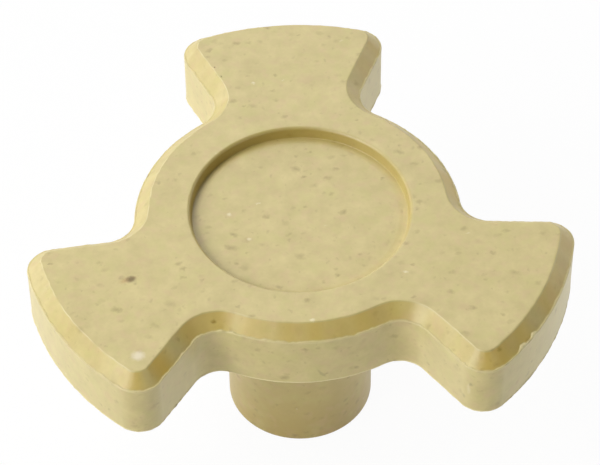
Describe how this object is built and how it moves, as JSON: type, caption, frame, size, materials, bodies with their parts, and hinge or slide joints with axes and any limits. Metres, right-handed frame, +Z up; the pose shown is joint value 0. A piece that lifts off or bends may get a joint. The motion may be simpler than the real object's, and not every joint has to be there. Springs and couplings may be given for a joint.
{
  "type": "microwave turntable coupler",
  "caption": "Moulded plate with fan-shaped wings, a shallow round recess and a long boss with a D-shaped blind bore, which turns the glass tray of a microwave oven.",
  "frame": {"origin": "centre of the boss's flat end face, which is the mouth of the shaft bore", "axes": "+Z up along the shaft bore and the axis of turning, from the boss's end towards the plate; one wing points along +Y, and the flat of the bore is on the +Y side"},
  "size_m": [0.053, 0.0478, 0.0272],
  "materials": {
    "plastic": "mineral-filled high-temperature plastic, as moulded, matt with fine specks"
  },
  "bodies": {
    "root": {"coupler": "plastic"}
  },
  "joints": []
}
